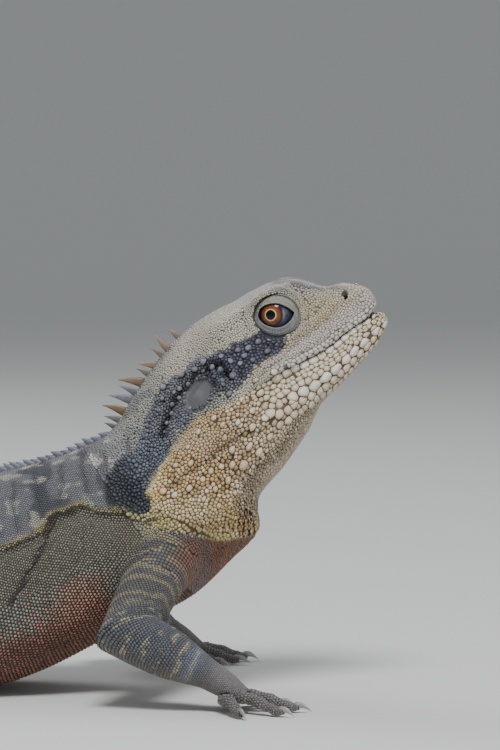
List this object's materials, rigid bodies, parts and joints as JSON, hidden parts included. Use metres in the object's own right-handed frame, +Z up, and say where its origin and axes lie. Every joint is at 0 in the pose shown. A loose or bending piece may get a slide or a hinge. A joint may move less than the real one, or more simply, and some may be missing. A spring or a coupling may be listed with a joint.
{
  "type": "eastern water dragon model",
  "caption": "Life-size still model of an adult male eastern water dragon, head raised, resting on its belly, forelegs and hind legs with long tail behind",
  "frame": {"origin": "middle of the footprint, on the floor the belly rests on", "axes": "+X toward the snout, +Y toward the animal's left side, +Z up"},
  "size_m": [0.6518, 0.2004, 0.1197],
  "materials": {
    "tan_skin": "tan and grey scaled skin",
    "slate_skin": "blue grey scaled skin with pale dots",
    "rust_skin": "rust red scaled skin",
    "eye_surface": "wet orange brown eye"
  },
  "bodies": {
    "root": {"head": "tan_skin", "neck": "tan_skin", "chest": "slate_skin", "belly": "rust_skin", "hips": "slate_skin", "tail_1": "slate_skin", "tail_2": "slate_skin", "tail_3": "slate_skin", "tail_4": "slate_skin", "tail_5": "slate_skin", "tail_6": "slate_skin", "tail_7": "slate_skin", "upper_arm_right": "slate_skin", "forearm_right": "slate_skin", "hand_right": "slate_skin", "upper_arm_left": "slate_skin", "forearm_left": "slate_skin", "hand_left": "slate_skin", "thigh_right": "slate_skin", "shin_right": "slate_skin", "foot_right": "slate_skin", "thigh_left": "slate_skin", "shin_left": "slate_skin", "foot_left": "slate_skin", "eye_right": "eye_surface", "eye_left": "eye_surface"}
  },
  "joints": []
}
